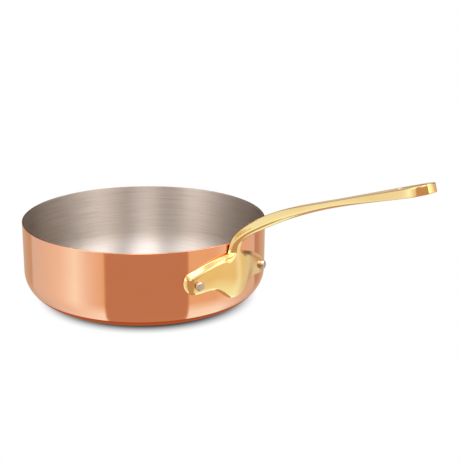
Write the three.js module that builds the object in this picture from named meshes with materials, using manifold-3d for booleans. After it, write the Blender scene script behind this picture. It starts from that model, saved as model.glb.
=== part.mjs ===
// Saute pan: a straight-sided copper bowl with a bonded steel lining, and a long cast brass handle
// whose three-lobed flange is held to the wall by two rivets.
// Millimetres, +Z up. The origin is the centre of the base's underside, and the handle points along +X.

import * as THREE from 'three';
import { mergeVertices } from 'three/addons/utils/BufferGeometryUtils.js';
import Module from 'manifold-3d';

// Bowl
const PAN_DIAMETER = 240;
const PAN_HEIGHT = 77;
const BASE_CORNER_RADIUS = 27.5;
const COPPER_THICKNESS = 1.35;
const LINING_THICKNESS = 0.15;

// Clearances
const SEAT_GAP = 0.3;
const SHANK_CLEARANCE = 0.3;

// Rivets. The drop is measured down from the rim, the arc along the wall from the handle's plane.
const RIVET_ARC = 41;
const RIVET_DROP = 32.3;
const SHANK_DIAMETER = 6;
const OUTER_HEAD_DIAMETER = 8.4;
const OUTER_HEAD_FACE = 5;
const OUTER_HEAD_HEIGHT = 3.4;
const INNER_HEAD_DIAMETER = 13;
const INNER_HEAD_FACE = 4;
const INNER_HEAD_HEIGHT = 2;
const HEAD_EDGE = 0.6;

// Flange outline. Drops are measured down from the rim.
const EAR_ARC = 44.3;
const EAR_DROP = 31.8;
const EAR_RADIUS = 10;
const FLANGE_TOP_DROP = 13.2;
const NOTCH_ARC = 27;
const NOTCH_DROP = 41.2;
const TONGUE_DROP = 53.6;

// Flange section
const FLANGE_THICKNESS = 5.6;
const FLANGE_EDGE = 1.6;
const UPPER_BEVEL = 6;
const LOWER_BEVEL = 3;
const EAR_BEVEL = 9;
const TRUNK_BULGE = 1.6;
const TRUNK_HALF_WIDTH = 12;

// Handle centreline. Stand-offs and reaches are measured out from the wall, rises up from the rim.
const ROOT_STANDOFF = 2.6;
const ROOT_DROP = 16.5;
const NECK_STANDOFF = 3.9;
const NECK_DROP = 6;
const NECK_PULL = 13;
const SHOULDER_REACH = 44.6;
const SHOULDER_RISE = 30.4;
const SHOULDER_SLOPE = 29.4;
const SHOULDER_PULL_IN = 23.4;
const SHOULDER_PULL_OUT = 38.3;
const TIP_REACH = 207;
const TIP_RISE = 89.6;
const TIP_SLOPE = 18.4;
const TIP_PULL = 58.7;

// Handle sections: width across the handle, depth square to it, and the radii of the edges
// on the upper side, which faces the pan at the neck, and on the lower side.
const ROOT_SECTION = { width: 26, depth: 4.6, upper: 2, lower: 2.2 };
const NECK_SECTION = { width: 10, depth: 6.4, upper: 1.6, lower: 2.4 };
const SHOULDER_SECTION = { width: 12, depth: 10, upper: 1.6, lower: 3.6 };
const WAIST_SECTION = { width: 16.5, depth: 6, upper: 1.2, lower: 2.2 };
const END_SECTION = { width: 27, depth: 7.7, upper: 1.2, lower: 1.4 };
const WAIST_SHARE = 0.45;
const TIP_ROUNDING = 15;

// Hanging hole: a teardrop with its wide end outwards
const HANG_HOLE_WIDTH = 10;
const HANG_HOLE_NECK = 5;
const HANG_HOLE_LENGTH = 24;
const HANG_HOLE_MARGIN = 9;

// Facets
const BOWL_SEGMENTS = 72;
const CORNER_STEPS = 6;
const RIVET_SEGMENTS = 24;
const HEAD_STEPS = 4;
const FLANGE_COLUMNS = 36;
const EAR_STEPS = 6;
const BEVEL_STEPS = 4;
const FACE_STEPS = 4;
const EDGE_STEPS = 3;
const ROOT_RINGS = 7;
const BEND_RINGS = 12;
const ARM_RINGS = 16;
const TIP_RINGS = 7;
const HOLE_STEPS = 10;
const MERGE_DISTANCE = 1e-4;

const wallRadius = PAN_DIAMETER / 2;
const wallThickness = COPPER_THICKNESS + LINING_THICKNESS;
const flangeBack = wallRadius + SEAT_GAP;
const rivetAngle = RIVET_ARC / flangeBack;
const rivetHeight = PAN_HEIGHT - RIVET_DROP;
const earHeight = PAN_HEIGHT - EAR_DROP;
const holeRadius = SHANK_DIAMETER / 2 + SHANK_CLEARANCE;

const wasm = await Module();
wasm.setup();

// Closed mesh to solid: shared vertices are merged, and triangles that shrink to nothing are dropped.
function toSolid(geometry) {
  geometry.deleteAttribute('normal');
  geometry.deleteAttribute('uv');
  const merged = mergeVertices(geometry, MERGE_DISTANCE);
  const index = merged.index.array;
  const triangles = [];
  for (let i = 0; i < index.length; i += 3) {
    const corners = [index[i], index[i + 1], index[i + 2]];
    if (new Set(corners).size === 3) triangles.push(...corners);
  }
  const mesh = new wasm.Mesh({
    numProp: 3,
    vertProperties: new Float32Array(merged.attributes.position.array),
    triVerts: new Uint32Array(triangles),
  });
  return new wasm.Manifold(mesh);
}

function toGeometry(solid) {
  const mesh = solid.getMesh();
  const geometry = new THREE.BufferGeometry();
  geometry.setAttribute('position', new THREE.BufferAttribute(mesh.vertProperties, mesh.numProp));
  geometry.setIndex(new THREE.BufferAttribute(mesh.triVerts, 1));
  geometry.computeVertexNormals();
  return geometry;
}

// Solid of revolution about Z, from a profile of (radius, height) points.
function revolve(profile, segments) {
  const geometry = new THREE.LatheGeometry(profile, segments);
  geometry.rotateX(Math.PI / 2);
  return geometry;
}

// Solid through a row of rings with equal counts of points, closed by a fan at each end.
// Outwards is the row's direction crossed with the ring's direction.
function loft(rings) {
  const count = rings[0].length;
  const points = rings.flat();
  const index = [];
  for (let i = 0; i + 1 < rings.length; i += 1) {
    for (let j = 0; j < count; j += 1) {
      const here = i * count + j;
      const next = i * count + (j + 1) % count;
      index.push(here, next + count, next, here, here + count, next + count);
    }
  }
  const lastStart = (rings.length - 1) * count;
  const firstCentre = points.push(middle(rings[0])) - 1;
  const lastCentre = points.push(middle(rings[rings.length - 1])) - 1;
  for (let j = 0; j < count; j += 1) {
    const next = (j + 1) % count;
    index.push(firstCentre, j, next);
    index.push(lastCentre, lastStart + next, lastStart + j);
  }
  const geometry = new THREE.BufferGeometry().setFromPoints(points);
  geometry.setIndex(index);
  return geometry;
}

function middle(ring) {
  const sum = new THREE.Vector3();
  for (const point of ring) sum.add(point);
  return sum.divideScalar(ring.length);
}

// Round hole along the axis of one rivet, long enough to pass the wall and the flange.
function rivetHole(angle) {
  const length = 2 * (wallThickness + FLANGE_THICKNESS + EAR_RADIUS);
  const geometry = new THREE.CylinderGeometry(holeRadius, holeRadius, length, RIVET_SEGMENTS);
  geometry.rotateZ(Math.PI / 2);
  geometry.translate(wallRadius, 0, rivetHeight);
  geometry.rotateZ(angle);
  return toSolid(geometry);
}

function drillRivetHoles(solid) {
  return solid.subtract(rivetHole(rivetAngle)).subtract(rivetHole(-rivetAngle));
}

// The bowl's surface at a depth below its outside, from the axis to the rim.
function bowlLine(depth) {
  const flatRadius = wallRadius - BASE_CORNER_RADIUS;
  const cornerRadius = BASE_CORNER_RADIUS - depth;
  const line = [new THREE.Vector2(0, depth)];
  for (let i = 0; i <= CORNER_STEPS; i += 1) {
    const turn = (i / CORNER_STEPS) * Math.PI / 2;
    const radius = flatRadius + cornerRadius * Math.sin(turn);
    const height = BASE_CORNER_RADIUS - cornerRadius * Math.cos(turn);
    line.push(new THREE.Vector2(radius, height));
  }
  line.push(new THREE.Vector2(wallRadius - depth, PAN_HEIGHT));
  return line;
}

// One layer of the bowl's sheet, between two depths below the outside.
function bowlLayer(outerDepth, innerDepth) {
  const profile = [...bowlLine(outerDepth), ...bowlLine(innerDepth).reverse()];
  return toGeometry(drillRivetHoles(toSolid(revolve(profile, BOWL_SEGMENTS))));
}

// Point on the wrap of the wall: arc from the handle's plane, height, and stand-off from the flange's back.
function onWall(arc, height, standOff) {
  const angle = arc / flangeBack;
  const radius = flangeBack + standOff;
  return new THREE.Vector3(radius * Math.cos(angle), radius * Math.sin(angle), height);
}

// The angle at which the arched upper edge, a parabola over the handle's plane, runs into the ear's circle.
function archMeetsEar() {
  const rise = EAR_DROP - FLANGE_TOP_DROP;
  let low = 0;
  let high = Math.PI / 2;
  while (high - low > 1e-9) {
    const angle = (low + high) / 2;
    const arc = EAR_ARC + EAR_RADIUS * Math.sin(angle);
    const archHeight = rise - Math.tan(angle) * arc / 2;
    if (archHeight > EAR_RADIUS * Math.cos(angle)) low = angle;
    else high = angle;
  }
  return low;
}

const archAngle = archMeetsEar();
const archArc = EAR_ARC + EAR_RADIUS * Math.sin(archAngle);
const archFall = Math.tan(archAngle) / (2 * archArc);

// Upper edge: an arch between the ears, then the ear's circle.
function upperEdge(arc) {
  const across = Math.abs(arc);
  if (across < archArc) return PAN_HEIGHT - FLANGE_TOP_DROP - archFall * across * across;
  return earHeight + earHalfHeight(across);
}

// Lower edge: the tongue under the neck, a notch at each side of it, then the ear's circle.
function lowerEdge(arc) {
  const across = Math.abs(arc);
  const tongue = PAN_HEIGHT - TONGUE_DROP;
  const notch = PAN_HEIGHT - NOTCH_DROP;
  if (across < NOTCH_ARC) return wave(tongue, notch, across / NOTCH_ARC);
  if (across < EAR_ARC) {
    return wave(notch, earHeight - EAR_RADIUS, (across - NOTCH_ARC) / (EAR_ARC - NOTCH_ARC));
  }
  return earHeight - earHalfHeight(across);
}

function earHalfHeight(across) {
  const out = across - EAR_ARC;
  return Math.sqrt(Math.max(0, EAR_RADIUS * EAR_RADIUS - out * out));
}

// Half a cosine wave from one value to another.
function wave(from, to, share) {
  return from + (to - from) * (1 - Math.cos(Math.PI * share)) / 2;
}

// Closed section of the flange at one arc: flat back, thin edges, rounded bevels and a swelling trunk.
function flangeRing(arc) {
  const across = Math.abs(arc);
  const lower = lowerEdge(arc);
  const upper = upperEdge(arc);
  const fit = Math.min(1, (upper - lower) / (UPPER_BEVEL + LOWER_BEVEL));
  const faceLow = lower + LOWER_BEVEL * fit;
  const faceHigh = upper - UPPER_BEVEL * fit;
  const tipShare = Math.max(0, (across - EAR_ARC - EAR_RADIUS + EAR_BEVEL) / EAR_BEVEL);
  const crown = (FLANGE_THICKNESS - FLANGE_EDGE) * Math.sqrt(Math.max(0, 1 - tipShare * tipShare));
  const swell = TRUNK_BULGE * Math.exp(-Math.pow(across / TRUNK_HALF_WIDTH, 2));
  const ring = [onWall(arc, lower, 0)];
  for (let i = 0; i < BEVEL_STEPS; i += 1) {
    const turn = (i / BEVEL_STEPS) * Math.PI / 2;
    const height = faceLow - (faceLow - lower) * Math.cos(turn);
    ring.push(onWall(arc, height, FLANGE_EDGE + crown * Math.sin(turn)));
  }
  for (let i = 0; i <= FACE_STEPS; i += 1) {
    const share = i / FACE_STEPS;
    const height = faceLow + (faceHigh - faceLow) * share;
    ring.push(onWall(arc, height, FLANGE_EDGE + crown + swell * Math.sin(Math.PI * share / 2)));
  }
  for (let i = BEVEL_STEPS - 1; i >= 0; i -= 1) {
    const turn = (i / BEVEL_STEPS) * Math.PI / 2;
    const height = faceHigh + (upper - faceHigh) * Math.cos(turn);
    ring.push(onWall(arc, height, FLANGE_EDGE + (crown + swell) * Math.sin(turn)));
  }
  ring.push(onWall(arc, upper, 0));
  return ring;
}

function flange() {
  const arcs = [];
  for (let i = EAR_STEPS; i > 0; i -= 1) arcs.push(-earArc(i));
  for (let i = 0; i <= FLANGE_COLUMNS; i += 1) arcs.push(EAR_ARC * (2 * i / FLANGE_COLUMNS - 1));
  for (let i = 1; i <= EAR_STEPS; i += 1) arcs.push(earArc(i));
  return toSolid(loft(arcs.map(flangeRing)));
}

// Columns close up towards the ear's tip, and the last one stops just short of it.
function earArc(step) {
  return EAR_ARC + EAR_RADIUS * Math.sin((step / (EAR_STEPS + 0.5)) * Math.PI / 2);
}

// Centreline of the handle in its plane: up out of the flange, over the bend, and out to the tip.
function bezier(start, startDirection, startPull, end, endDirection, endPull) {
  return new THREE.CubicBezierCurve3(
    start,
    start.clone().addScaledVector(startDirection, startPull),
    end.clone().addScaledVector(endDirection, -endPull),
    end,
  );
}

function direction(slope) {
  const angle = THREE.MathUtils.degToRad(slope);
  return new THREE.Vector3(Math.cos(angle), 0, Math.sin(angle));
}

const rootPoint = new THREE.Vector3(flangeBack + ROOT_STANDOFF, 0, PAN_HEIGHT - ROOT_DROP);
const neckPoint = new THREE.Vector3(flangeBack + NECK_STANDOFF, 0, PAN_HEIGHT - NECK_DROP);
const shoulderPoint = new THREE.Vector3(wallRadius + SHOULDER_REACH, 0, PAN_HEIGHT + SHOULDER_RISE);
const tipPoint = new THREE.Vector3(wallRadius + TIP_REACH, 0, PAN_HEIGHT + TIP_RISE);
const upwards = new THREE.Vector3(0, 0, 1);
const rootCurve = new THREE.LineCurve3(rootPoint, neckPoint);
const bendCurve = bezier(
  neckPoint, upwards, NECK_PULL,
  shoulderPoint, direction(SHOULDER_SLOPE), SHOULDER_PULL_IN,
);
const armCurve = bezier(
  shoulderPoint, direction(SHOULDER_SLOPE), SHOULDER_PULL_OUT,
  tipPoint, direction(TIP_SLOPE), TIP_PULL,
);

function mixSections(from, to, share) {
  const mixed = {};
  for (const key of Object.keys(from)) mixed[key] = from[key] + (to[key] - from[key]) * share;
  return mixed;
}

// Section of the arm at a share of its length: it flattens to the waist, then widens to the paddle end.
function armSection(share) {
  if (share < WAIST_SHARE) {
    return mixSections(SHOULDER_SECTION, WAIST_SECTION, wave(0, 1, share / WAIST_SHARE));
  }
  return mixSections(WAIST_SECTION, END_SECTION, wave(0, 1, (share - WAIST_SHARE) / (1 - WAIST_SHARE)));
}

// Rounded rectangle square to the centreline, clockwise from the upper side as seen from its far end.
function armRing(point, tangent, section) {
  const up = new THREE.Vector3(-tangent.z, 0, tangent.x);
  const ring = [];
  for (let corner = 0; corner < 4; corner += 1) {
    const left = corner < 2 ? 1 : -1;
    const top = corner === 0 || corner === 3 ? 1 : -1;
    const radius = Math.min(top > 0 ? section.upper : section.lower, section.width / 2, section.depth / 2);
    for (let i = 0; i <= EDGE_STEPS; i += 1) {
      const turn = (corner + i / EDGE_STEPS) * Math.PI / 2;
      const across = left * (section.width / 2 - radius) + radius * Math.sin(turn);
      const above = top * (section.depth / 2 - radius) + radius * Math.cos(turn);
      const place = point.clone().addScaledVector(up, above);
      place.y += across;
      ring.push(place);
    }
  }
  return ring;
}

// The neck flares into the flange in a quarter round, swings over the bend and ends in a rounded paddle.
function arm() {
  const rings = [];
  for (let i = 0; i < ROOT_RINGS; i += 1) {
    const turn = (i / ROOT_RINGS) * Math.PI / 2;
    const share = 1 - Math.cos(turn);
    const section = mixSections(ROOT_SECTION, NECK_SECTION, Math.sin(turn));
    rings.push(armRing(rootCurve.getPointAt(share), rootCurve.getTangentAt(share), section));
  }
  for (let i = 0; i < BEND_RINGS; i += 1) {
    const share = i / BEND_RINGS;
    const section = mixSections(NECK_SECTION, SHOULDER_SECTION, wave(0, 1, share));
    rings.push(armRing(bendCurve.getPointAt(share), bendCurve.getTangentAt(share), section));
  }
  const tipStart = 1 - TIP_ROUNDING / armCurve.getLength();
  for (let i = 0; i < ARM_RINGS; i += 1) {
    const share = tipStart * i / ARM_RINGS;
    rings.push(armRing(armCurve.getPointAt(share), armCurve.getTangentAt(share), armSection(share)));
  }
  for (let i = 0; i < TIP_RINGS; i += 1) {
    const turn = (i / TIP_RINGS) * Math.PI / 2;
    const share = tipStart + (1 - tipStart) * Math.sin(turn);
    const section = armSection(share);
    section.width *= Math.cos(turn);
    rings.push(armRing(armCurve.getPointAt(share), armCurve.getTangentAt(share), section));
  }
  return toSolid(loft(rings));
}

// Teardrop prism through the paddle end, square to it.
function hangingHole() {
  const wide = HANG_HOLE_WIDTH / 2;
  const narrow = HANG_HOLE_NECK / 2;
  const between = HANG_HOLE_LENGTH - wide - narrow;
  const lean = Math.asin((wide - narrow) / between);
  const outline = new THREE.Shape();
  outline.absarc(0, 0, wide, -Math.PI / 2 - lean, Math.PI / 2 + lean, false);
  outline.absarc(-between, 0, narrow, Math.PI / 2 + lean, 3 * Math.PI / 2 - lean, false);
  const depth = 3 * END_SECTION.depth;
  const geometry = new THREE.ExtrudeGeometry(outline, { depth, bevelEnabled: false, curveSegments: HOLE_STEPS });
  geometry.translate(0, 0, -depth / 2);
  const share = 1 - (HANG_HOLE_MARGIN + wide) / armCurve.getLength();
  const tangent = armCurve.getTangentAt(share);
  geometry.rotateY(-Math.atan2(tangent.z, tangent.x));
  const centre = armCurve.getPointAt(share);
  geometry.translate(centre.x, centre.y, centre.z);
  return toSolid(geometry);
}

function handleGeometry() {
  const casting = flange().add(arm()).subtract(hangingHole());
  return toGeometry(drillRivetHoles(casting));
}

// Half of a rivet head in section, from its seat over a rounded shoulder to a small flat face on the axis.
function head(radius, faceRadius, height, seat, outwards) {
  const line = [new THREE.Vector2(radius, seat)];
  for (let i = 0; i <= HEAD_STEPS; i += 1) {
    const turn = (i / HEAD_STEPS) * Math.PI / 2;
    const along = seat + outwards * (HEAD_EDGE + (height - HEAD_EDGE) * Math.sin(turn));
    line.push(new THREE.Vector2(faceRadius + (radius - faceRadius) * Math.cos(turn), along));
  }
  line.push(new THREE.Vector2(0, seat + outwards * height));
  return line;
}

// Rivet about its own axis, with heights measured from the pan's axis: the inner head clears the hollow
// wall at its edge, and the outer head sits on the ear.
function rivetGeometry() {
  const innerRadius = INNER_HEAD_DIAMETER / 2;
  const outerRadius = OUTER_HEAD_DIAMETER / 2;
  const shankRadius = SHANK_DIAMETER / 2;
  const innerSeat = Math.sqrt((wallRadius - wallThickness) ** 2 - innerRadius ** 2) - SEAT_GAP;
  const outerSeat = flangeBack + FLANGE_THICKNESS + SEAT_GAP;
  const profile = [
    ...head(innerRadius, INNER_HEAD_FACE / 2, INNER_HEAD_HEIGHT, innerSeat, -1).reverse(),
    new THREE.Vector2(shankRadius, innerSeat),
    new THREE.Vector2(shankRadius, outerSeat),
    ...head(outerRadius, OUTER_HEAD_FACE / 2, OUTER_HEAD_HEIGHT, outerSeat, 1),
  ];
  return revolve(profile, RIVET_SEGMENTS);
}

function metal(color, roughness) {
  return new THREE.MeshStandardMaterial({ color, roughness, metalness: 1 });
}

function piece(name, geometry, material) {
  const mesh = new THREE.Mesh(geometry, material);
  mesh.name = name;
  return mesh;
}

// A rivet lies along a radius of the bowl at its own angle round the wall.
function placedRivet(name, angle) {
  const rivet = piece(name, rivetGeometry(), metal(0x9a958c, 0.35));
  rivet.rotation.y = Math.PI / 2;
  const place = new THREE.Group();
  place.rotation.z = angle;
  place.position.z = rivetHeight;
  place.add(rivet);
  return place;
}

const pan = new THREE.Group();
pan.add(piece('copper_body', bowlLayer(0, COPPER_THICKNESS), metal(0xd9875f, 0.15)));
pan.add(piece('steel_lining', bowlLayer(COPPER_THICKNESS, wallThickness), metal(0xb0a69d, 0.35)));
pan.add(piece('handle', handleGeometry(), metal(0xe3c06b, 0.18)));
pan.add(placedRivet('rivet_left', -rivetAngle));
pan.add(placedRivet('rivet_right', rivetAngle));

export default pan;
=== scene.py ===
# %% [markdown]
# # A copper saute pan with a cast brass handle
#
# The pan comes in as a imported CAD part: a faceted bowl, lining, handle and two rivets, all in metres.
# Those solids fix where everything is. Here each one is modelled again with fine, smooth surfaces,
# gets a metal finish made of nodes, and is set on a white table to be photographed.
#
# Polished metal shows little of its own. What the eye reads as copper is the studio mirrored in it,
# so the last part of this lesson, the studio painted in the world, matters as much as the modelling.

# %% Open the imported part
import math

import bmesh
import bpy
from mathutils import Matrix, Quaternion, Vector
from mathutils.geometry import interpolate_bezier


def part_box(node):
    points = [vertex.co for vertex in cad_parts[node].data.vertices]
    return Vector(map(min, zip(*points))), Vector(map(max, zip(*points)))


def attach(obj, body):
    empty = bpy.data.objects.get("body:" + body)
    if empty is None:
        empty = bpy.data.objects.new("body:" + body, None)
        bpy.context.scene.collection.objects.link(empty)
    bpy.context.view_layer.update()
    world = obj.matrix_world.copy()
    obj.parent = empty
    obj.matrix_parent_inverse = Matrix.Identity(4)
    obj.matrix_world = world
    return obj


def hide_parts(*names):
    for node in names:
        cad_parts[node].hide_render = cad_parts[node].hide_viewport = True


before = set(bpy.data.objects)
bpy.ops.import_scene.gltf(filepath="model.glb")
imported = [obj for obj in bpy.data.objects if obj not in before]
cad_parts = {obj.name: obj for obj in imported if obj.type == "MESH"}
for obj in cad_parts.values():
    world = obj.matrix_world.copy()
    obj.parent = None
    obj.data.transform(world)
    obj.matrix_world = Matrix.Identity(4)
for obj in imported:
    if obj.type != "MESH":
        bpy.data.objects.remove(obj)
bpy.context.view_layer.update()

MM = 0.001

_, bowl_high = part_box("copper_body")
WALL_RADIUS = bowl_high.y
RIM_HEIGHT = bowl_high.z
print(f"bowl {2 * WALL_RADIUS / MM:.0f} mm across, {RIM_HEIGHT / MM:.0f} mm high")

# %% [markdown]
# ## Helpers for working as by hand
#
# Every piece starts as a primitive and is shaped in edit mode. A person picks faces and edges with the
# mouse; a script picks them by a rule, such as "faces that look up". `pick` does that, and `both_ends`
# helps to write a rule about an edge.

# %% Picking by a rule
# Places closer than this are the same place.
NEAR = 0.05 * MM
# A face looks along an axis if its normal has at least this share of it.
FACING = 0.8


def pick(kind, rule):
    """In edit mode, selects only the vertices, edges or faces that the rule is true for."""
    mesh = bpy.context.edit_object.data
    bpy.ops.mesh.select_mode(type=kind)
    bpy.ops.mesh.select_all(action="DESELECT")
    shape = bmesh.from_edit_mesh(mesh)
    parts = {"VERT": shape.verts, "EDGE": shape.edges, "FACE": shape.faces}[kind]
    chosen = [part for part in parts if rule(part)]
    for part in chosen:
        part.select_set(True)
    shape.select_flush_mode()
    bmesh.update_edit_mesh(mesh)
    return len(chosen)


def both_ends(edge, rule):
    """True if a rule about places holds at both ends of an edge."""
    return all(rule(vert.co) for vert in edge.verts)


# %% [markdown]
# A piece starts with its place in its mesh, so that the object itself stays at the origin. `finish_with`
# adds a modifier and applies it, so that the finished piece is a plain mesh. `take_place` lets the piece
# stand for its CAD solid.

# %% Starting and finishing a piece
def start_piece(name):
    """Names the primitive just added, puts its place into its mesh and opens it in edit mode."""
    piece = bpy.context.object
    piece.name = name
    piece.data.name = name
    bpy.ops.object.transform_apply(location=True, rotation=True, scale=True)
    bpy.ops.object.mode_set(mode="EDIT")
    return piece


def finish_with(piece, kind, **settings):
    """Adds one modifier to the piece and applies it."""
    modifier = piece.modifiers.new(kind.title(), kind)
    for setting, value in settings.items():
        setattr(modifier, setting, value)
    bpy.context.view_layer.objects.active = piece
    bpy.ops.object.modifier_apply(modifier=modifier.name)


def take_place(piece, node):
    """The piece stands for a CAD node: it rides on the part, and that node is hidden."""
    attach(piece, "root")
    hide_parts(node)
    print(f"{piece.name}: {len(piece.data.polygons)} faces")


# Nothing of the CAD is left selected when the first piece is added.
bpy.ops.object.select_all(action="DESELECT")

# %% [markdown]
# ## The bowl
#
# The real bowl is one sheet: copper outside with a thin skin of stainless steel rolled onto its inside.
# It could be spun from a profile. A cylinder is quicker: take off the lid, and bevel the bottom edge
# until it is a wide round corner.
#
# A mirror shows every fault in the shading. The flat bottom gets an inset ring, and the wall is cut just
# above the corner and just below the rim, so that the long faces between stay flat from end to end.

# %% Skin of the bowl
CORNER_RADIUS = 27.5 * MM
SUPPORT = 2 * MM
BOWL_SIDES = 256
CORNER_STEPS = 24
# The bottom's normal has at least this share of the vertical, and the corner's faces have less.
FLAT = 0.9999


def bowl_skin(name, depth):
    """The outer face of one layer of the bowl, some depth below the pan's outside."""
    height = RIM_HEIGHT - depth
    bpy.ops.mesh.primitive_cylinder_add(
        vertices=BOWL_SIDES,
        radius=WALL_RADIUS - depth,
        depth=height,
        location=(0, 0, depth + height / 2),
    )
    layer = start_piece(name)
    pick("FACE", lambda face: face.normal.z > FACING)
    bpy.ops.mesh.delete(type="FACE")
    pick("EDGE", lambda edge: both_ends(edge, lambda at: at.z < depth + NEAR))
    bpy.ops.mesh.bevel(offset=CORNER_RADIUS - depth, segments=CORNER_STEPS, affect="EDGES")
    pick("FACE", lambda face: face.normal.z < -FLAT)
    bpy.ops.mesh.inset(thickness=SUPPORT)
    for level in (CORNER_RADIUS + SUPPORT, RIM_HEIGHT - SUPPORT):
        bpy.ops.mesh.select_all(action="SELECT")
        bpy.ops.mesh.bisect(plane_co=(0, 0, level), plane_no=(0, 0, 1))
    bpy.ops.object.mode_set(mode="OBJECT")
    return layer


# %% [markdown]
# Solidify gives the skin its thickness, inwards, so that the outside keeps its size. The rim of a real
# pan is ground: its two edges are broken with a narrow bevel, which catches a line of light.

# %% Copper layer and steel lining
COPPER_THICKNESS = 1.35 * MM
LINING_THICKNESS = 0.15 * MM
COPPER_RIM = 0.35 * MM
LINING_RIM = 0.3 * LINING_THICKNESS
RIM_STEPS = 3
BOWL_SHARP_TURN = math.radians(30)


def on_rim(edge):
    """True for the two rings that run round the mouth, and not for the short edges between them."""
    level = both_ends(edge, lambda at: at.z > RIM_HEIGHT - NEAR)
    start, end = (vert.co.xy.length for vert in edge.verts)
    return level and abs(start - end) < NEAR


def thicken(layer, thickness, rim_edge):
    """Gives a skin its thickness, and breaks the two edges of its rim."""
    finish_with(layer, "SOLIDIFY", thickness=thickness, offset=-1, use_even_offset=True)
    bpy.ops.object.mode_set(mode="EDIT")
    pick("EDGE", on_rim)
    bpy.ops.mesh.bevel(offset=rim_edge, segments=RIM_STEPS, affect="EDGES")
    bpy.ops.object.mode_set(mode="OBJECT")
    bpy.ops.object.shade_smooth_by_angle(angle=BOWL_SHARP_TURN)


copper_bowl = bowl_skin("copper_bowl", 0)
thicken(copper_bowl, COPPER_THICKNESS, COPPER_RIM)
take_place(copper_bowl, "copper_body")
steel_bowl = bowl_skin("steel_bowl", COPPER_THICKNESS)
thicken(steel_bowl, LINING_THICKNESS, LINING_RIM)
take_place(steel_bowl, "steel_lining")

# %% [markdown]
# ## The handle as a block model
#
# The handle is one casting: a flange with two ears and a tongue, a neck that rises out of its top edge,
# and a long arm. A casting has no hard joints, so it is made as one cage of quads and smoothed by a
# subdivision surface, which also gives the fillets where the neck leaves the flange.
#
# The cage is first built as a stack of unit cubes. x counts columns across the handle, y counts rows up
# the flange and on along the arm, and z counts levels from the back to the front. A grid is the back,
# three extrusions give the edge, and the neck is the middle of the top edge, extruded once for each
# ring of the arm.

# %% Cage of the handle
# The columns at the ear's end and at the neck's side, the row at the flange's top, and the front level.
TIP_COLUMN = 12
NECK_COLUMN = 3
TOP_ROW = 5
FRONT = 3
ARM_RINGS = 25


def is_neck_root(face):
    middle = face.calc_center_median()
    return face.normal.y > FACING and abs(middle.x) < NECK_COLUMN


bpy.ops.mesh.primitive_grid_add(
    x_subdivisions=2 * TIP_COLUMN, y_subdivisions=TOP_ROW, size=1, location=(0, TOP_ROW / 2, 0)
)
bpy.context.object.scale = (2 * TIP_COLUMN, TOP_ROW, 1)
handle = start_piece("brass_handle")
bpy.ops.mesh.select_all(action="SELECT")
for level in range(FRONT):
    bpy.ops.mesh.extrude_region_move(TRANSFORM_OT_translate={"value": (0, 0, 1)})
bpy.ops.mesh.select_all(action="SELECT")
bpy.ops.mesh.normals_make_consistent(inside=False)
pick("FACE", is_neck_root)
for ring in range(ARM_RINGS):
    bpy.ops.mesh.extrude_region_move(TRANSFORM_OT_translate={"value": (0, 1, 0)})
print(f"cage: {len(bmesh.from_edit_mesh(handle.data).faces)} faces")

# %% [markdown]
# ## Creases
#
# A subdivision surface rounds everything. Where the casting is crisp, an edge gets a crease: full on the
# back's outline, which lies flat on the wall, partial on the crest where the flange's face breaks into
# its bevel, and faint round the end of each ear, which is worn softer. On the block model the edges are
# easy to name by their row, column and level.

# %% Creases of the flange
BACK_CREASE = 1
CREST_CREASE = 0.4
EAR_CREASE = 0.1
EAR_CREST_COLUMN = TIP_COLUMN - 1
# Half a step of the grid: a vertex nearer to a row than this is in that row.
HALF = 0.5


def on_back_outline(edge):
    flat = both_ends(edge, lambda at: at.z < HALF and at.y < TOP_ROW + HALF)
    side = both_ends(edge, lambda at: abs(at.x) > TIP_COLUMN - HALF)
    bottom = both_ends(edge, lambda at: at.y < HALF)
    top = both_ends(edge, lambda at: at.y > TOP_ROW - HALF and abs(at.x) > NECK_COLUMN - HALF)
    return flat and (side or bottom or top)


def on_face(edge):
    return both_ends(edge, lambda at: at.z > FRONT - HALF and abs(at.x) < EAR_CREST_COLUMN + HALF)


def on_crest(edge):
    low = both_ends(edge, lambda at: abs(at.y - 1) < HALF)
    high = both_ends(edge, lambda at: abs(at.y - TOP_ROW + 1) < HALF and abs(at.x) > NECK_COLUMN + HALF)
    return on_face(edge) and (low or high)


def on_ear_end(edge):
    column = both_ends(edge, lambda at: abs(at.x) > EAR_CREST_COLUMN - HALF)
    return on_face(edge) and column and both_ends(edge, lambda at: HALF < at.y < TOP_ROW - HALF)


print("back outline edges:", pick("EDGE", on_back_outline))
bpy.ops.transform.edge_crease(value=BACK_CREASE)
print("crest edges:", pick("EDGE", on_crest))
bpy.ops.transform.edge_crease(value=CREST_CREASE)
print("ear end edges:", pick("EDGE", on_ear_end))
bpy.ops.transform.edge_crease(value=EAR_CREASE)

# %% [markdown]
# ## Shaping the flange
#
# Every vertex of the block gets a real place. On the flange that place is an arc along the wall, a height
# and a stand-off from the wall. The upper edge is an arch that runs into the round of the ear; the lower
# edge is a wave with a tongue in the middle and a notch at each side. The arch falls with the square of
# the arc, and leans a little to one side.

# %% Edges of the flange
SEAT = WALL_RADIUS + 0.3 * MM
EAR_ARC = 44.3 * MM
EAR_HEIGHT = 45.2 * MM
EAR_RADIUS = 10 * MM
FLANGE_TOP = 67.7 * MM
# Metres that the arch would fall by at an arc of one metre.
ARCH_FALL = 6.27
NOTCH_ARC = 26 * MM
NOTCH_HEIGHT = 37.2 * MM
TONGUE_HEIGHT = 23.8 * MM
TONGUE_BLUNTNESS = 1.25


def wave(start, end, share):
    """Half a cosine wave from one value to another."""
    return start + (end - start) * (1 - math.cos(math.pi * share)) / 2


def ear_half_height(arc):
    return math.sqrt(max(0, EAR_RADIUS ** 2 - (arc - EAR_ARC) ** 2))


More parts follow.
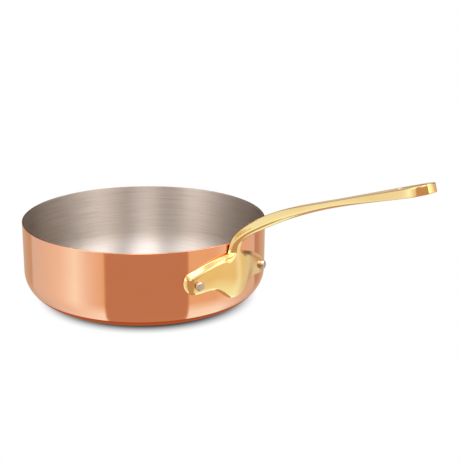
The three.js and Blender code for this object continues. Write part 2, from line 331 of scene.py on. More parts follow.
def upper_edge(arc):
    if arc < EAR_ARC:
        return FLANGE_TOP - ARCH_FALL * arc ** 2
    return EAR_HEIGHT + ear_half_height(arc)


def lower_edge(arc):
    if arc < NOTCH_ARC:
        return wave(TONGUE_HEIGHT, NOTCH_HEIGHT, (arc / NOTCH_ARC) ** TONGUE_BLUNTNESS)
    if arc < EAR_ARC:
        return wave(NOTCH_HEIGHT, EAR_HEIGHT - EAR_RADIUS, (arc - NOTCH_ARC) / (EAR_ARC - NOTCH_ARC))
    return EAR_HEIGHT - ear_half_height(arc)


flange_span = 2 * (EAR_ARC + EAR_RADIUS)
flange_rise = FLANGE_TOP - TONGUE_HEIGHT
print(f"flange {flange_span / MM:.0f} mm along the wall, {flange_rise / MM:.0f} mm high")

# %% [markdown]
# The rows between the two edges are the face and the bevels round it. The last column bends round the
# end of the ear.

# %% Columns and rows of the flange
COLUMN_ARCS = [arc * MM for arc in (0, 2.8, 5.8, 8.4, 12, 17, 23, 29, 35, 40.5, 45.5, 50)]
EAR_END_TURN = math.radians(35)
# The upper bevel is narrow in the middle of the flange and wide on the ear.
UPPER_BEVEL = (2.5 * MM, 5 * MM)
LOWER_BEVEL = 2.2 * MM
FACE_STEPS = TOP_ROW - 2


def outline_place(column, row):
    """Arc and height of a cage vertex on the flange."""
    if column == TIP_COLUMN:
        turn = EAR_END_TURN * (2 * row / TOP_ROW - 1)
        return EAR_ARC + EAR_RADIUS * math.cos(turn), EAR_HEIGHT + EAR_RADIUS * math.sin(turn)
    arc = COLUMN_ARCS[column]
    low, high = lower_edge(arc), upper_edge(arc)
    crest_low = low + LOWER_BEVEL
    crest_high = high - wave(*UPPER_BEVEL, arc / COLUMN_ARCS[-1])
    face = [crest_low + (crest_high - crest_low) * step / FACE_STEPS for step in range(FACE_STEPS + 1)]
    return arc, [low, *face, high][row]


print(f"{len(COLUMN_ARCS)} columns to the ear, and one round its end")

# %% [markdown]
# The flange is thickest in the middle, where the neck's trunk runs down into the tongue, and thinnest at
# the outline. Its face is slightly crowned, as castings are after polishing.

# %% Thickness of the flange
FLANGE_THICKNESS = 5 * MM
FLANGE_EDGE = 1.2 * MM
LOWER_EDGE = 3.2 * MM
ARCH_EDGE = 3.2 * MM
# How steeply the top row falls to the right, and how far the arch drops from level to level.
ARCH_LEAN = 0.045
ARCH_DROP = (0, 0, 0.1 * MM, 0.6 * MM)
FACE_CROWN = 0.5 * MM
CROWN_ROWS = (2, 3)
EAR_SLOPE = 5.2 * MM
# How far the trunk swells the middle of each row.
TRUNK_BULGE = (0.8 * MM, 1.2 * MM, 4.4 * MM, 4.8 * MM, 3.2 * MM)
TRUNK_HALF_WIDTH = 18 * MM
# How far out each level lies, as a share of the front's stand-off.
EDGE_LEVELS = (0, 0.3, 0.75, 1)


def front_stand_off(column, row):
    """How far the flange's front stands off the wall at a cage vertex."""
    if column == TIP_COLUMN:
        return FLANGE_EDGE
    swell = math.exp(-(COLUMN_ARCS[column] / TRUNK_HALF_WIDTH) ** 2)
    if row == 0:
        return LOWER_EDGE + TRUNK_BULGE[row] * swell
    if row == TOP_ROW:
        return wave(ARCH_EDGE, FLANGE_EDGE, COLUMN_ARCS[column] / COLUMN_ARCS[-1])
    if column == EAR_CREST_COLUMN:
        return EAR_SLOPE
    crown = FACE_CROWN if row in CROWN_ROWS else 0
    return FLANGE_THICKNESS + TRUNK_BULGE[row] * swell + crown


def on_wall(arc, height, stand_off):
    radius = SEAT + stand_off
    return Vector((radius * math.cos(arc / SEAT), radius * math.sin(arc / SEAT), height))


def flange_vertex(column, row, level):
    """Place of a cage vertex on the flange."""
    arc, height = outline_place(abs(column), row)
    stand_off = EDGE_LEVELS[level] * front_stand_off(abs(column), row)
    height -= ARCH_LEAN * math.copysign(arc, column) * row / TOP_ROW
    if row == TOP_ROW:
        height -= ARCH_DROP[level]
    return on_wall(math.copysign(arc, column), height, stand_off)


thickest = max(front_stand_off(0, row) for row in range(TOP_ROW))
print(f"flange {thickest / MM:.1f} mm at its thickest")

# %% [markdown]
# ## Shaping the neck and the arm
#
# The arm's rings follow a centreline: a short upright stretch on the flange and two Bezier curves, one
# that swings up from the neck and over the bend, and one that runs out to the tip. A curve object would
# draw the same line, but the rings need to ask it for a point and a direction at any share of its length.

# %% Centreline of the arm
NECK_STAND_OFF = 3.7 * MM
ROOT_PLACE = Vector((SEAT + NECK_STAND_OFF, 0, FLANGE_TOP))
NECK_PLACE = Vector((SEAT + NECK_STAND_OFF, 0, 73 * MM))
NECK_PULL = 11 * MM
SHOULDER_PLACE = Vector((WALL_RADIUS + 44.6 * MM, 0, RIM_HEIGHT + 30.4 * MM))
SHOULDER_SLOPE = math.radians(29.4)
SHOULDER_PULLS = (23.4 * MM, 38.3 * MM)
TIP_PLACE = Vector((WALL_RADIUS + 206.9 * MM, 0, RIM_HEIGHT + 89.6 * MM))
TIP_SLOPE = math.radians(18.4)
TIP_PULL = 58.7 * MM
CURVE_POINTS = 80


def slope_direction(slope):
    return Vector((math.cos(slope), 0, math.sin(slope)))


def line_length(line):
    return sum((b - a).length for a, b in zip(line, line[1:]))


def place_on(line, share):
    """Point and direction at a share of a line's length."""
    left = share * line_length(line)
    for a, b in zip(line, line[1:]):
        step = (b - a).length
        if left <= step:
            break
        left -= step
    return a.lerp(b, left / step), (b - a).normalized()


shoulder_way = slope_direction(SHOULDER_SLOPE)
tip_way = slope_direction(TIP_SLOPE)
neck_line = [ROOT_PLACE.lerp(NECK_PLACE, i / CURVE_POINTS) for i in range(CURVE_POINTS)]
bend_line = interpolate_bezier(
    NECK_PLACE,
    NECK_PLACE + Vector((0, 0, NECK_PULL)),
    SHOULDER_PLACE - shoulder_way * SHOULDER_PULLS[0],
    SHOULDER_PLACE,
    CURVE_POINTS,
)
arm_line = interpolate_bezier(
    SHOULDER_PLACE,
    SHOULDER_PLACE + shoulder_way * SHOULDER_PULLS[1],
    TIP_PLACE - tip_way * TIP_PULL,
    TIP_PLACE,
    CURVE_POINTS,
)
print(f"bend {line_length(bend_line) / MM:.0f} mm, arm {line_length(arm_line) / MM:.0f} mm long")

# %% [markdown]
# Each ring is a rectangle square to the centreline. Its corner vertices have a neighbour on each side and
# are pulled in towards them. The farther the neighbours, the rounder the edge: tight on the upper side,
# wide on the lower side, and tight all round at the flat end. The sides also lean in towards the lower
# side, most of all on the neck, where that side is the front.

# %% Sections along the arm
# Width, depth, how far the neighbours stand from the upper and the lower corners, and how much each side
# leans in from the upper corner to the lower one.
ROOT_SECTION = Vector((16, 7, 0.7, 1.8, 3.4)) * MM
NECK_SECTION = Vector((13, 7, 0.7, 2.0, 3.2)) * MM
SHOULDER_SECTION = Vector((13, 10.4, 0.8, 4.2, 2.2)) * MM
WAIST_SECTION = Vector((17, 6.1, 0.6, 2.7, 1.2)) * MM
END_SECTION = Vector((27, 7.8, 0.6, 0.9, 0)) * MM
WAIST_SHARE = 0.45


def arm_section(share):
    """Section at a share of the arm, from the shoulder by the waist to the end."""
    if share < WAIST_SHARE:
        return SHOULDER_SECTION.lerp(WAIST_SECTION, wave(0, 1, share / WAIST_SHARE))
    return WAIST_SECTION.lerp(END_SECTION, wave(0, 1, (share - WAIST_SHARE) / (1 - WAIST_SHARE)))


waist = arm_section(WAIST_SHARE)
print(f"waist {waist[0] / MM:.0f} mm wide and {waist[1] / MM:.0f} mm deep")

# %% [markdown]
# The rings stand close where the form changes: on the neck, over the bend, round the window of the hanging
# hole and at the tip, where they follow a round end.

# %% Stations of the rings
NECK_SHARES = (0.3, 0.62)
BEND_RINGS = 7
ARM_STEPS = 9
# How far before the tip the even steps end, and where the rings of the window stand.
EVEN_END = 42 * MM
WINDOW_RINGS = (34.5 * MM, 25 * MM)
TIP_ROUNDING = 17.5 * MM
TIP_TURNS = [math.radians(turn) for turn in (90, 68, 47, 28)]


def arm_stations():
    """Point, direction and section of every ring, from just above the flange to the tip."""
    stations = []
    for share in NECK_SHARES:
        section = ROOT_SECTION.lerp(NECK_SECTION, math.sin(share * math.pi / 2))
        stations.append((*place_on(neck_line, share), section))
    for step in range(BEND_RINGS):
        section = NECK_SECTION.lerp(SHOULDER_SECTION, wave(0, 1, step / BEND_RINGS))
        stations.append((*place_on(bend_line, step / BEND_RINGS), section))
    length = line_length(arm_line)
    shares = [(1 - EVEN_END / length) * step / ARM_STEPS for step in range(ARM_STEPS + 1)]
    shares += [1 - lag / length for lag in WINDOW_RINGS]
    for share in shares:
        stations.append((*place_on(arm_line, share), arm_section(share)))
    for turn in TIP_TURNS:
        share = 1 - TIP_ROUNDING * (1 - math.cos(turn)) / length
        section = arm_section(share)
        section[0] *= math.sin(turn)
        stations.append((*place_on(arm_line, share), section))
    return stations


stations = arm_stations()
print(f"{len(stations)} rings for {ARM_RINGS} extrusions")

# %% [markdown]
# Now the block model becomes the casting: each vertex looks up its column, row and level, and moves to
# its real place. The neck's first ring lies on the flange's top edge, and the end face bulges out to
# round off the tip.

# %% Vertices of a ring
# How far out the columns stand, as a share of the half width.
INNER_COLUMN_SHARE = 0.3
OUTER_COLUMN_SHARE = 0.85
CORNER_PULL = 0.42


def ring_vertex(column, station, level):
    """Place of a cage vertex on a ring of the arm. Level 0 is the upper side and FRONT the lower side."""
    place, way, (width, depth, upper, lower, lean) = station
    upwards = Vector((-way.z, 0, way.x))
    near = (upper, upper, lower, lower)[level]
    half = width / 2
    across = (0, INNER_COLUMN_SHARE * half, half - near, half)[abs(column)]
    above = (depth / 2, depth / 2 - upper, lower - depth / 2, -depth / 2)[level]
    across *= 1 - lean / half * (1 / 2 - above / depth)
    if abs(column) == NECK_COLUMN and level in (0, FRONT):
        across -= CORNER_PULL * near
        above -= math.copysign(CORNER_PULL * near, above)
    return place + upwards * above + Vector((0, math.copysign(across, column), 0))


def tip_bulge(column, width):
    """How far the end face stands out past its ring."""
    across = (0, INNER_COLUMN_SHARE, OUTER_COLUMN_SHARE, 1)[abs(column)] * width / 2
    half = END_SECTION[0] / 2
    ring = math.sqrt(1 - (width / 2 / half) ** 2)
    return TIP_ROUNDING * (math.sqrt(1 - (across / half) ** 2) - ring)


# %% Move every vertex of the cage to its place
neck_root = (ROOT_PLACE, Vector((0, 0, 1)), ROOT_SECTION)


def real_place(column, row, level):
    if row < TOP_ROW or row == TOP_ROW and abs(column) > NECK_COLUMN:
        return flange_vertex(column, row, level)
    if row == TOP_ROW:
        return ring_vertex(column, neck_root, level)
    station = stations[row - TOP_ROW - 1]
    place = ring_vertex(column, station, level)
    if row == TOP_ROW + ARM_RINGS:
        place += station[1] * tip_bulge(column, station[2][0])
    return place


shape = bmesh.from_edit_mesh(handle.data)
for vert in shape.verts:
    vert.co = real_place(*(round(value) for value in vert.co))
bmesh.update_edit_mesh(handle.data)
print(f"{len(shape.verts)} vertices moved")

# %% [markdown]
# ## The hanging hole
#
# The paddle end has a hole to hang the pan by. A boolean cut would leave ragged faces for the subdivision
# to smooth. In the cage the hole is a window: the middle faces above and below are inset, which leaves a
# narrow frame that keeps the rim crisp, then deleted, and the two windows are bridged.

# %% Hanging hole
HOLE_FRAME = 1.1 * MM
HOLE_START = WALL_RADIUS + 172 * MM
HOLE_END = WALL_RADIUS + 199 * MM
HOLE_HALF_WIDTH = 4.5 * MM
HOLE_WALL_CUTS = 2


def in_window(face):
    middle = face.calc_center_median()
    inside = HOLE_START < middle.x < HOLE_END and abs(middle.y) < HOLE_HALF_WIDTH
    return inside and abs(face.normal.z) > FACING


# Leaving edit mode and coming back brings the normals of the moved faces up to date.
bpy.ops.object.mode_set(mode="OBJECT")
bpy.ops.object.mode_set(mode="EDIT")
print("window faces:", pick("FACE", in_window))
bpy.ops.mesh.inset(thickness=HOLE_FRAME)
bpy.ops.mesh.delete(type="FACE")
pick("EDGE", lambda edge: edge.is_boundary)
bpy.ops.mesh.bridge_edge_loops(number_cuts=HOLE_WALL_CUTS, interpolation="LINEAR")
bpy.ops.mesh.select_all(action="SELECT")
bpy.ops.mesh.normals_make_consistent(inside=False)
bpy.ops.object.mode_set(mode="OBJECT")

# %% [markdown]
# Three rounds of subdivision make the cage a smooth casting. They are applied, so that what is measured
# and exported is what is seen.

# %% Smooth the casting
ROUNDS = 3

finish_with(handle, "SUBSURF", levels=ROUNDS, render_levels=ROUNDS)
bpy.ops.object.shade_smooth()
take_place(handle, "handle")

# %% [markdown]
# ## The rivets
#
# A rivet is a shank with a button head outside and a low domed head inside. It is drawn standing up: a
# cylinder is the shank, and each end face is extruded, scaled out to the head and raised. The rim of each
# head is then bevelled. Turning it on its side and round the pan puts it through the ear.

# %% Heads of a rivet
SHANK_RADIUS = 3 * MM
OUTER_HEAD = {"radius": 4.2 * MM, "height": 3.6 * MM, "round": 1.5 * MM}
INNER_HEAD = {"radius": 6.5 * MM, "height": 2 * MM, "round": 1.7 * MM}
HEAD_STEPS = 8


def add_head(seat, outwards, head):
    """Grows a head from the shank's end face at a seat, and rounds its rim."""
    at_seat = Vector((0, 0, seat))
    pick("FACE", lambda face: (face.calc_center_median() - at_seat).length < NEAR)
    bpy.ops.mesh.extrude_region_move(TRANSFORM_OT_translate={"value": (0, 0, 0)})
    spread = head["radius"] / SHANK_RADIUS
    bpy.ops.transform.resize(value=(spread, spread, 1), center_override=at_seat)
    bpy.ops.mesh.extrude_region_move(TRANSFORM_OT_translate={"value": (0, 0, outwards * head["height"])})
    top = seat + outwards * head["height"]
    pick("EDGE", lambda edge: both_ends(edge, lambda at: abs(at.z - top) < NEAR))
    bpy.ops.mesh.bevel(offset=head["round"], segments=HEAD_STEPS, affect="EDGES")


# %% Rivets
RIVET_SIDES = 48
RIVET_ARC = 41 * MM
RIVET_SHARP_TURN = math.radians(40)
OUTER_SEAT = SEAT + 5.5 * MM
INNER_SEAT = WALL_RADIUS - COPPER_THICKNESS - LINING_THICKNESS - 0.3 * MM


def rivet(name, node, side):
    """A rivet at its CAD solid's height, on one side of the handle: seen from outside, -1 is left."""
    low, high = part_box(node)
    length = OUTER_SEAT - INNER_SEAT
    bpy.ops.mesh.primitive_cylinder_add(
        vertices=RIVET_SIDES, radius=SHANK_RADIUS, depth=length, location=(0, 0, INNER_SEAT + length / 2)
    )
    piece = start_piece(name)
    add_head(OUTER_SEAT, 1, OUTER_HEAD)
    add_head(INNER_SEAT, -1, INNER_HEAD)
    bpy.ops.object.mode_set(mode="OBJECT")
    piece.rotation_euler = (0, math.pi / 2, side * RIVET_ARC / SEAT)
    piece.location = (0, 0, (low.z + high.z) / 2)
    bpy.ops.object.transform_apply(location=True, rotation=True, scale=True)
    bpy.ops.object.shade_smooth_by_angle(angle=RIVET_SHARP_TURN)
    take_place(piece, node)
    return piece


rivets = [rivet("steel_rivet_left", "rivet_left", -1), rivet("steel_rivet_right", "rivet_right", 1)]

# %% [markdown]
# ## Finishes
#
# All four finishes are metals, so the colour is the colour of the reflection. What sets them apart is how
# sharp the mirror is and which way it is brushed. Each one starts from the same plain metal and gets its
# wear from noise on object coordinates, so that it needs no picture and has no seam.
#
# A node tree in a script is easier to read when each kind of node is one short call.

# %% Nodes that sum, blend and take shares
def add_node(tree, kind, inputs=None, **settings):
    """A new node. Inputs go by name or number: sockets are linked and values are set."""
    node = tree.nodes.new(kind)
    for name, setting in settings.items():
        setattr(node, name, setting)
    for name, value in (inputs or {}).items():
        if isinstance(value, bpy.types.NodeSocket):
            tree.links.new(value, node.inputs[name])
        else:
            node.inputs[name].default_value = value
    return node


def math_node(tree, operation, *values):
    """The result of a sum on sockets and numbers."""
    return add_node(tree, "ShaderNodeMath", dict(enumerate(values)), operation=operation).outputs[0]


def vector_node(tree, operation, *vectors):
    """The outputs of a sum on vectors: Vector and Value."""
    return add_node(tree, "ShaderNodeVectorMath", dict(enumerate(vectors)), operation=operation).outputs


def blend(tree, share, before, after):
    """The mix of two colours at a share."""
    return add_node(tree, "ShaderNodeMixRGB", {0: share, 1: before, 2: after}).outputs[0]


def share_of(tree, value, start, end, curve="LINEAR"):
    """How far a value is on its way from start to end, from 0 to 1."""
    limits = {"Value": value, "From Min": start, "From Max": end}
    return add_node(tree, "ShaderNodeMapRange", limits, interpolation_type=curve).outputs["Result"]


# %% [markdown]
# The plain metal is a Principled shader with Metallic at 1. `tone`, `vary` and `emboss` then work a
# pattern into its colour, its roughness and its relief.

# %% A plain metal and its wear
# Most of a noise pattern lies between these values.
NOISE_RANGE = (0.3, 0.7)


def new_metal(name, roughness):
    """A metal with one Principled shader. Returns the material, its node tree and that shader."""
    material = bpy.data.materials.new(name)
    material.use_nodes = True
    shader = material.node_tree.nodes["Principled BSDF"]
    shader.inputs["Metallic"].default_value = 1
    shader.inputs["Roughness"].default_value = roughness
    return material, material.node_tree, shader


def tone(tree, shader, pattern, dark, light):
    """Lets the metal's colour drift between two tones of it."""
    drift = blend(tree, pattern, (*dark, 1), (*light, 1))
    tree.links.new(drift, shader.inputs["Base Color"])


def vary(tree, shader, pattern, low, high):
    """Lets the metal's roughness drift between two values."""
    low_noise, high_noise = NOISE_RANGE
    limits = {"From Min": low_noise, "From Max": high_noise, "To Min": low, "To Max": high}
    spread = add_node(tree, "ShaderNodeMapRange", {"Value": pattern, **limits})
    tree.links.new(spread.outputs["Result"], shader.inputs["Roughness"])


def emboss(tree, shader, pattern, strength, depth):
    """Uses a noise pattern as a relief of some depth."""
    bump = add_node(tree, "ShaderNodeBump", {"Height": pattern, "Strength": strength, "Distance": depth})
    tree.links.new(bump.outputs["Normal"], shader.inputs["Normal"])


def wear(piece, material):
    """Gives a piece its finish, in place of any other."""
    piece.data.materials.clear()
    piece.data.materials.append(material)
    print(f"{piece.name}: {material.name}, {len(material.node_tree.nodes)} nodes")


# %% [markdown]
# Cast and hammered metal is uneven in spots. The bowl was polished and brushed while it turned, so its
# marks run round it. Their pattern is noise on two coordinates: the direction from the axis, which changes
# slowly round the pan, and the way along the profile, radius plus height, which changes fast. Stretched
# like that, spots of noise become rings.

# %% Spots, and marks that run round the axis
MARK_DETAIL = 3


def spots(tree, per_metre, detail):
    """Noise that is fixed to the piece."""
    place = add_node(tree, "ShaderNodeTexCoord").outputs["Object"]
    settings = {"Vector": place, "Scale": per_metre, "Detail": detail}
    return add_node(tree, "ShaderNodeTexNoise", settings).outputs["Fac"]


def turning_marks(tree, per_turn, per_metre):
    """Noise drawn out into rings round the pan's axis."""
    place = add_node(tree, "ShaderNodeTexCoord").outputs["Object"]
    parts = add_node(tree, "ShaderNodeSeparateXYZ", {0: place}).outputs
    flat = add_node(tree, "ShaderNodeCombineXYZ", {"X": parts["X"], "Y": parts["Y"]}).outputs[0]
    way = vector_node(tree, "NORMALIZE", flat)["Vector"]
    along = math_node(tree, "ADD", vector_node(tree, "LENGTH", flat)["Value"], parts["Z"])
    drawn = math_node(tree, "MULTIPLY", along, per_metre / per_turn)
    rise = add_node(tree, "ShaderNodeCombineXYZ", {"Z": drawn}).outputs[0]
    stretched = vector_node(tree, "ADD", way, rise)["Vector"]
    settings = {"Vector": stretched, "Scale": per_turn, "Detail": MARK_DETAIL}
    return add_node(tree, "ShaderNodeTexNoise", settings).outputs["Fac"]


# %% [markdown]
# The copper is polished nearly to a mirror, with faint clouds in its colour. The lining is brushed: fine
# marks make its mirror wide across them and narrow along them. The anisotropic shader does that, with a
# radial tangent that runs round the axis and a quarter turn that lays the blur across the marks.

# %% Copper and lining
ACROSS_THE_MARKS = 0.25

copper, tree, shader = new_metal("polished copper", roughness=0.07)
clouds = spots(tree, per_metre=30, detail=3)
tone(tree, shader, clouds, dark=(0.85, 0.415, 0.24), light=(0.91, 0.465, 0.28))
marks = turning_marks(tree, per_turn=2, per_metre=400)
vary(tree, shader, marks, low=0.05, high=0.09)
wear(copper_bowl, copper)

steel, tree, shader = new_metal("brushed steel", roughness=0.5)
marks = turning_marks(tree, per_turn=3, per_metre=900)
tone(tree, shader, marks, dark=(0.465, 0.425, 0.38), light=(0.81, 0.737, 0.68))
vary(tree, shader, marks, low=0.38, high=0.5)
emboss(tree, shader, marks, strength=0.06, depth=0.1 * MM)
tangent = add_node(tree, "ShaderNodeTangent", direction_type="RADIAL", axis="Z")
tree.links.new(tangent.outputs["Tangent"], shader.inputs["Tangent"])
shader.inputs["Anisotropic"].default_value = 0.97
shader.inputs["Anisotropic Rotation"].default_value = ACROSS_THE_MARKS
wear(steel_bowl, steel)

# %% [markdown]
# The brass is polished too, but by hand over a casting, so its mirror is softer and swims a little. The
# rivets are satin steel, hammered into shape: their relief is fine and strong.

# %% Brass and rivets
brass, tree, shader = new_metal("polished brass", roughness=0.12)
cast = spots(tree, per_metre=45, detail=1)
tone(tree, shader, cast, dark=(0.87, 0.615, 0.255), light=(0.93, 0.675, 0.315))
vary(tree, shader, cast, low=0.08, high=0.16)
emboss(tree, shader, cast, strength=0.05, depth=1 * MM)
wear(handle, brass)

satin, tree, shader = new_metal("satin steel", roughness=0.3)
hammered = spots(tree, per_metre=420, detail=1)
tone(tree, shader, hammered, dark=(0.5, 0.43, 0.36), light=(0.7, 0.61, 0.52))
vary(tree, shader, hammered, low=0.2, high=0.4)
emboss(tree, shader, hammered, strength=0.4, depth=0.5 * MM)
for piece in rivets:
    wear(piece, satin)

# %% [markdown]
# ## The camera
#
# A long lens stands about a metre away, a little above the rim, so that the pan's near and far sides are
# drawn nearly alike. Its place and aim were found by laying the bowl's two ellipses and the handle over
# the photograph.

# %% Camera
CAMERA_PLACE = Vector((0.7137, -0.6426, 0.3558))
CAMERA_AIM = Vector((0.06255, 0.05781, 0.06366))
CAMERA_ROLL = 0.011
SENSOR_WIDTH = 36
# The focal length and the picture's width, in pixels of the picture.
FOCAL_PIXELS = 1000
PICTURE_PIXELS = 460

bpy.ops.object.camera_add(location=CAMERA_PLACE)
camera = bpy.context.object
camera.data.sensor_width = SENSOR_WIDTH
camera.data.lens = SENSOR_WIDTH * FOCAL_PIXELS / PICTURE_PIXELS
camera.rotation_mode = "QUATERNION"
look = (CAMERA_AIM - CAMERA_PLACE).to_track_quat("-Z", "Y")
camera.rotation_quaternion = look @ Quaternion((0, 0, 1), CAMERA_ROLL)
bpy.context.scene.camera = camera
bpy.context.scene.view_settings.view_transform = "Standard"
print(f"lens of {camera.data.lens:.0f} mm, {CAMERA_PLACE.length:.2f} m from the pan")

# %% [markdown]
# ## The table
#
# The table is plain white, with only a narrow soft shadow at the pan's foot. To the camera it glows white,
# dimmed by two soft round shadows that are painted on it. One lies close under the foot. The other is
# shifted a little to the front, as if the light came from above and behind. To plain light the table is
# white paper.
#
# Light Path tells which ray looks at the table, so the glow can be kept from lighting the pan. Mirrored
# rays would see the glow as well, but the table is hidden from them: metal looks through it, at the
# studio below.

# %% White table with a contact shadow
TABLE_WIDTH = 8
TABLE_DROP = 0.2 * MM
PAPER_WHITE = (0.8, 0.8, 0.8, 1)
# The centre of each shadow, and how far from it the shadow is full and how far it is gone.
SHADOWS = [
    (Vector((0, 0, 0)), 84 * MM, 108 * MM),
    (Vector((7.3, -3.9, 0)) * MM, 86 * MM, 112 * MM),
]


def bare_material(name):
    """A material without nodes, and its node tree."""
    material = bpy.data.materials.new(name)
    material.use_nodes = True
    material.node_tree.nodes.clear()
    return material, material.node_tree


bpy.ops.mesh.primitive_plane_add(size=TABLE_WIDTH, location=(0, 0, -TABLE_DROP))
table = bpy.context.object
table.name = "table"
table.visible_glossy = False
paper, tree = bare_material("white paper")
rays = add_node(tree, "ShaderNodeLightPath").outputs
seen = rays["Is Camera Ray"]
for ray in ("Is Glossy Ray", "Is Transmission Ray"):
    seen = math_node(tree, "MAXIMUM", seen, rays[ray])
place = add_node(tree, "ShaderNodeTexCoord").outputs["Object"]
bright = 1
for centre, full, gone in SHADOWS:
    apart = vector_node(tree, "DISTANCE", place, centre)["Value"]
    bright = math_node(tree, "MULTIPLY", bright, share_of(tree, apart, full, gone, "SMOOTHSTEP"))
glow = add_node(tree, "ShaderNodeEmission", {"Color": bright}).outputs[0]
plain = add_node(tree, "ShaderNodeBsdfDiffuse", {"Color": PAPER_WHITE}).outputs[0]
mix = add_node(tree, "ShaderNodeMixShader", {0: seen, 1: plain, 2: glow}).outputs[0]
add_node(tree, "ShaderNodeOutputMaterial", {"Surface": mix})
wear(table, paper)

# %% [markdown]
# ## The studio that the metal mirrors
#
# To the camera and to all plain light the world is white. Only metal sees a painted studio in it: light
# panels with a brown gap between them, and lamps above. Cards and lamps could stand round the pan as
# objects, but a painted world is smaller and quicker to adjust.
#
# A mirror that faces halfway between the camera and a direction shows the camera that direction. So the
# panels are painted by that halfway vector: the angle that a mirror is turned from the camera picks a
# tint, and its tilt picks the row of panels. A round wall turns steadily, which makes upright bands on
# it. The camera's place is a fixed value here, so the studio stays put when the view changes.

# %% Tints of the panels, and where they stand
WHITE = (1, 1.03, 1.05)
COLD = (1.12, 1.42, 1.56)
GREY = (0.8, 0.8, 0.8)
CREAM = (0.92, 0.78, 0.57)
TAN = (0.66, 0.53, 0.39)
BROWN = (0.6, 0.38, 0.27)

# The turn of the mirror in degrees, to the right of the camera, and the tint that it shows. The brown
# gap's two edges are a little soft.
GAP_LEFT = (-19.3, -18.5)
GAP_RIGHT = (19.5, 20.3)
WALL_PANELS = [
    (-90, TAN), (-66, TAN), (-65, GREY), (-43, WHITE), (-34, COLD), (-27, WHITE), (GAP_LEFT[0], CREAM),
    (GAP_LEFT[1], BROWN), (GAP_RIGHT[0], BROWN), (GAP_RIGHT[1], CREAM), (34, CREAM), (42, WHITE),
    (51, CREAM), (62.8, GREY), (63.4, BROWN), (68, BROWN), (72, TAN), (90, TAN),
]
FOOT_PANELS = [
    (-90, GREY), (-52, GREY), (-36, WHITE), (GAP_LEFT[0], COLD), (GAP_LEFT[1], BROWN),
    (GAP_RIGHT[0], BROWN), (GAP_RIGHT[1], COLD), (36, COLD), (44, WHITE), (54, GREY), (90, TAN),
]
print(f"{len(WALL_PANELS)} stops on the wall, {len(FOOT_PANELS)} at its foot")

# %% [markdown]
# The world hands each ray's direction to its nodes. Turned so that the camera stands on +X, and added to
# the direction to the camera, it gives the halfway vector.

# %% Which way the mirror faces
camera_turn = math.atan2(CAMERA_PLACE.y, CAMERA_PLACE.x)
camera_rise = math.atan2(CAMERA_PLACE.z - RIM_HEIGHT / 2, CAMERA_PLACE.xy.length)
to_camera = (math.cos(camera_rise), 0, math.sin(camera_rise))

world = bpy.data.worlds.new("studio")
bpy.context.scene.world = world
world.use_nodes = True
tree = world.node_tree
direction = add_node(tree, "ShaderNodeTexCoord").outputs["Generated"]
turned = {"Vector": direction, "Angle": -camera_turn}
direction = add_node(tree, "ShaderNodeVectorRotate", turned, rotation_type="Z_AXIS").outputs[0]
both = vector_node(tree, "ADD", direction, to_camera)["Vector"]
halfway = vector_node(tree, "NORMALIZE", both)["Vector"]
mirror = add_node(tree, "ShaderNodeSeparateXYZ", {0: halfway}).outputs
print(f"the camera stands {math.degrees(camera_rise):.0f} degrees up")

# %% [markdown]
# At the foot the bowl's wall bends under, and a panel's edge should go on straight down there. So the
# ramps don't run over the angle itself but over the place on the bowl where such a mirror lies: how far
# it is to the side of the middle, as a share of the radius.

# %% Panels below the horizon
# The wall's panels take over from the foot's between these sines of the mirror's tilt.
PANEL_CHANGE = (-0.4, -0.04)
BACK_FADE = (0.4, 0.85)

corner = CORNER_RADIUS / WALL_RADIUS
tilt = mirror["Z"]
run = math_node(tree, "SQRT", math_node(tree, "SUBTRACT", 1, math_node(tree, "MULTIPLY", tilt, tilt)))
reach = math_node(tree, "ADD", math_node(tree, "DIVIDE", 1 - corner, run), corner)
aside = math_node(tree, "MULTIPLY", mirror["Y"], reach)


def ramp_of(tree, share, stops):
    """Colours ramped over a share from 0 to 1."""
    ramp = add_node(tree, "ShaderNodeValToRGB", {"Fac": share})
    elements = ramp.color_ramp.elements
    elements.remove(elements[0])
    for index, (position, colour) in enumerate(stops):
        stop = elements.new(position) if index else elements[0]
        stop.position = position
        stop.color = (*colour, 1)
    return ramp.outputs["Color"]


def panels(tree, stops):
    """A row of panels across the bowl."""
    places = [((1 + math.sin(math.radians(turn))) / 2, tint) for turn, tint in stops]
    return ramp_of(tree, share_of(tree, aside, -1, 1), places)


wall, foot = panels(tree, WALL_PANELS), panels(tree, FOOT_PANELS)
below = blend(tree, share_of(tree, tilt, *PANEL_CHANGE), foot, wall)
# Straight behind the pan the halfway vector has no direction, so the panels fade out there.
apart = vector_node(tree, "LENGTH", both)["Value"]
below = blend(tree, share_of(tree, apart, *BACK_FADE), (*TAN, 1), below)
print(f"{len(tree.nodes)} nodes in the world so far")

# %% [markdown]
# Above the horizon only the direction itself counts. Three tall lamps stand on the camera's side, which
# the brushed lining draws out into three soft beams. The back of the room is dark and the ceiling is
# plain. Three strips of light hang overhead and make three lobes of light on the pan's floor. Inside a
# bowl the sides cross over: a lamp on the right lights the lining on the left. Lamps and strips are
# brighter than 1, which is plain white.

# %% Lamps above the horizon
# The turn in degrees from the camera's direction, and the brightness there.
LAMPS = [
    (-180, 0.14), (-150, 0.14), (-112, 0.42), (-82, 1.1), (-66, 1.85), (-60, 2.55), (-44, 2.55),
    (-38.5, 0.67), (-18, 0.67), (-12, 2.1), (4, 2.1), (10, 0.67), (24, 0.67), (29, 2.2), (50, 2.2),
    (64, 1.5), (80, 1.05), (116, 0.56), (140, 0.24), (180, 0.14),
]
LAMP_TINT = Vector((1, 0.89, 0.83))
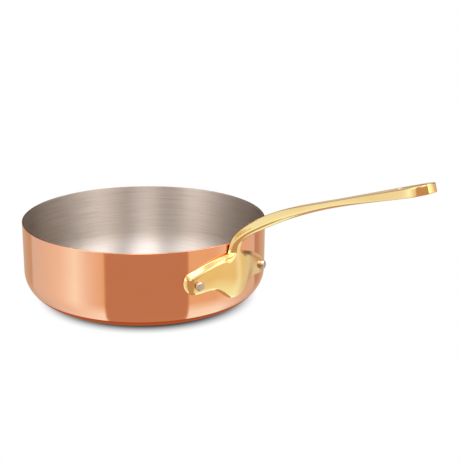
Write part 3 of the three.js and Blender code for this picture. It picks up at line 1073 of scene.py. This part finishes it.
# How far a direction leads to the side, as a share of 1, and the brightness overhead there.
OVERHEAD = [
    (-0.7, 0.85), (-0.6, 3.3), (-0.36, 3.3), (-0.29, 1.25), (-0.19, 1.25), (-0.13, 3.8), (0.13, 3.8),
    (0.18, 0.95), (0.35, 0.95), (0.4, 4.7), (0.66, 4.7), (0.74, 0.85),
]
OVERHEAD_TINT = Vector((1, 1.01, 1.05))
CEILING = (1.1, 1.1, 1.1, 1)
# The heights, as sines, between which the ceiling and then the strips take over.
CEILING_START = (0.55, 0.7)
OVERHEAD_START = (0.74, 0.82)

parts = add_node(tree, "ShaderNodeSeparateXYZ", {0: direction}).outputs
height = parts["Z"]
round_share = share_of(tree, math_node(tree, "ARCTAN2", parts["Y"], parts["X"]), -math.pi, math.pi)
lamps = [((turn + 180) / 360, bright * LAMP_TINT) for turn, bright in LAMPS]
strips = [((1 + place) / 2, bright * OVERHEAD_TINT) for place, bright in OVERHEAD]
above = ramp_of(tree, round_share, lamps)
above = blend(tree, share_of(tree, height, *CEILING_START), above, CEILING)
overhead = ramp_of(tree, share_of(tree, parts["Y"], -1, 1), strips)
above = blend(tree, share_of(tree, height, *OVERHEAD_START), above, overhead)
print(f"{len(LAMPS)} stops round the room, {len(OVERHEAD)} overhead")

# %% [markdown]
# The brown gap reaches a little above the horizon, so there the horizon is raised. Last, Light Path keeps
# the studio for mirrored rays and leaves the world plain white for all others.

# %% The horizon, and white for all light but the mirrored
HORIZON = (0.05, 0.13)
GAP_RISE = 0.22
PLAIN_WHITE = (1, 1, 1, 1)
NONE = (0, 0, 0)
FULL = (1, 1, 1)
GAP = [(GAP_LEFT[0], NONE), (GAP_LEFT[1], FULL), (GAP_RIGHT[0], FULL), (GAP_RIGHT[1], NONE)]

sunk = math_node(tree, "SUBTRACT", height, math_node(tree, "MULTIPLY", panels(tree, GAP), GAP_RISE))
studio = blend(tree, share_of(tree, sunk, *HORIZON), below, above)
mirrored = add_node(tree, "ShaderNodeLightPath").outputs["Is Glossy Ray"]
background = tree.nodes["Background"]
tree.links.new(blend(tree, mirrored, PLAIN_WHITE, studio), background.inputs["Color"])
background.inputs["Strength"].default_value = 1
print(f"{len(tree.nodes)} nodes in the world")

# %% [markdown]
# Right under the pan the table lies in its shadow. Metal doesn't see the table, so a dark disc that only
# metal sees takes that shadow's place: it is the dark red line along the bowl's bottom edge.

# %% Shadow that the copper mirrors
SHADOW_RADIUS = 111 * MM
SHADOW_DROP = 0.1 * MM
SHADOW_SIDES = 96
SHADOW_RED = (0.46, 0.14, 0.05, 1)

bpy.ops.mesh.primitive_circle_add(
    vertices=SHADOW_SIDES, radius=SHADOW_RADIUS, fill_type="NGON", location=(0, 0, -SHADOW_DROP)
)
shadow_disc = bpy.context.object
shadow_disc.name = "shadow_disc"
for ray in ("camera", "diffuse", "transmission", "volume_scatter", "shadow"):
    setattr(shadow_disc, f"visible_{ray}", False)
dark, tree = bare_material("shadow")
gloom = add_node(tree, "ShaderNodeEmission", {"Color": SHADOW_RED}).outputs[0]
add_node(tree, "ShaderNodeOutputMaterial", {"Surface": gloom})
wear(shadow_disc, dark)
